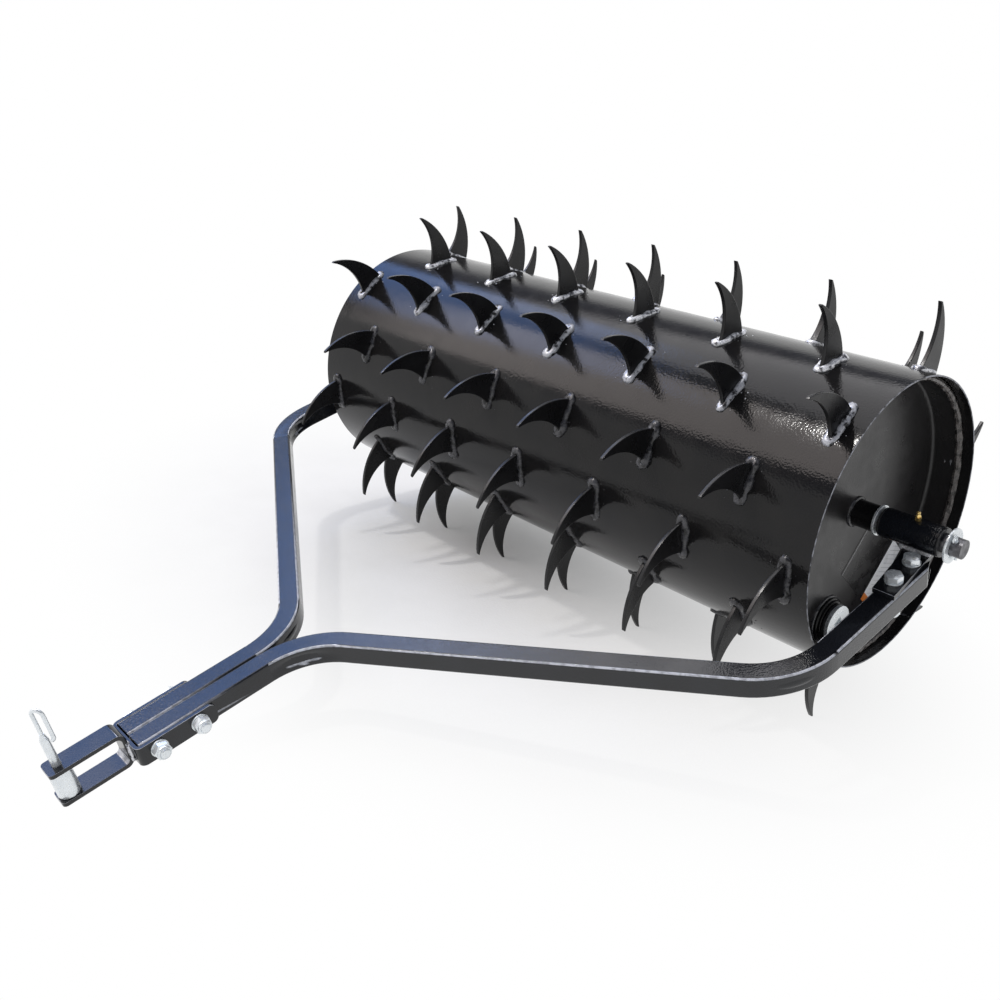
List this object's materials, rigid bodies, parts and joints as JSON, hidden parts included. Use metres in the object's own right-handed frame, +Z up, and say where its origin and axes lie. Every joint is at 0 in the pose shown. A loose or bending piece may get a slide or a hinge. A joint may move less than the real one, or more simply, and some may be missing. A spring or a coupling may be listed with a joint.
{
  "type": "tow behind aerator",
  "caption": "Towed lawn aerator: a water-filled steel drum with rows of curved claws, turning on an axle between bent square-tube arms that meet at a pin hitch.",
  "frame": {"origin": "centre of the bounding box in X and Y, on the floor that the claw tips and the clevis rest on", "axes": "+X along the axle to the side with the fill plug, -Y toward the hitch, +Z up"},
  "size_m": [1.08, 1.0997, 0.5021],
  "materials": {
    "drum_paint": "glossy textured",
    "frame_coat": "textured gloss powder coat",
    "zinc": "bright zinc plating",
    "axle_steel": "dark bar steel",
    "bush_plastic": "gloss",
    "seal_rubber": "matt",
    "brass": "bright",
    "label_foil": "printed foil",
    "claw_coat": "satin powder coat"
  },
  "bodies": {
    "tow_frame": {"right_arm": "frame_coat", "left_arm": "frame_coat", "right_bearing_tube": "frame_coat", "left_bearing_tube": "frame_coat", "right_bushes": "bush_plastic", "left_bushes": "bush_plastic", "grease_nipples": "brass", "right_bracket_plate": "frame_coat", "left_bracket_plate": "frame_coat", "bracket_bolts": "zinc", "bracket_washers": "zinc", "bracket_nuts": "zinc", "hitch_channel": "frame_coat", "hitch_clevis": "frame_coat", "channel_bolts": "zinc", "channel_washers": "zinc", "channel_nuts": "zinc"},
    "drum": {"drum_shell": "drum_paint", "right_end_plate": "drum_paint", "left_end_plate": "drum_paint", "centre_tube": "drum_paint", "axle_shaft": "axle_steel", "thrust_washers": "zinc", "end_washers": "zinc", "cotter_pins": "zinc", "fill_bung": "drum_paint", "drum_label": "label_foil", "claw_row_01": "claw_coat", "claw_row_02": "claw_coat", "claw_row_03": "claw_coat", "claw_row_04": "claw_coat", "claw_row_05": "claw_coat", "claw_row_06": "claw_coat", "claw_row_07": "claw_coat", "claw_row_08": "claw_coat", "claw_row_09": "claw_coat", "claw_row_10": "claw_coat", "claw_row_11": "claw_coat", "claw_row_12": "claw_coat"},
    "plug_seal": {"plug_seal": "seal_rubber"},
    "fill_plug": {"fill_plug": "zinc"},
    "hitch_pin": {"hitch_pin": "zinc"},
    "hitch_sleeve": {"hitch_sleeve": "zinc"}
  },
  "joints": [
    {"name": "drum_spin", "type": "hinge", "parent": "tow_frame", "child": "drum", "pos_m": [0, 0.29942, 0.25107], "axis": [1, 0, 0], "continuous": true},
    {"name": "plug_rise", "type": "slide", "parent": "drum", "child": "plug_seal", "axis": [1, 0, 0], "range_m": [0, 0.0139]},
    {"name": "plug_turn", "type": "hinge", "parent": "plug_seal", "child": "fill_plug", "pos_m": [0.42, 0.26816, 0.11563], "axis": [1, 0, 0], "range_deg": [0, 2160]},
    {"name": "pin_lift", "type": "slide", "parent": "tow_frame", "child": "hitch_pin", "axis": [0, -0.2286, 0.9735], "range_m": [0, 0.06]},
    {"name": "sleeve_spin", "type": "hinge", "parent": "tow_frame", "child": "hitch_sleeve", "pos_m": [0, -0.52549, 0.02523], "axis": [0, -0.2286, 0.9735], "continuous": true}
  ],
  "couplings": [
    {"joint": "plug_rise", "follows": "plug_turn", "m_per_rad": 0.00036749}
  ]
}
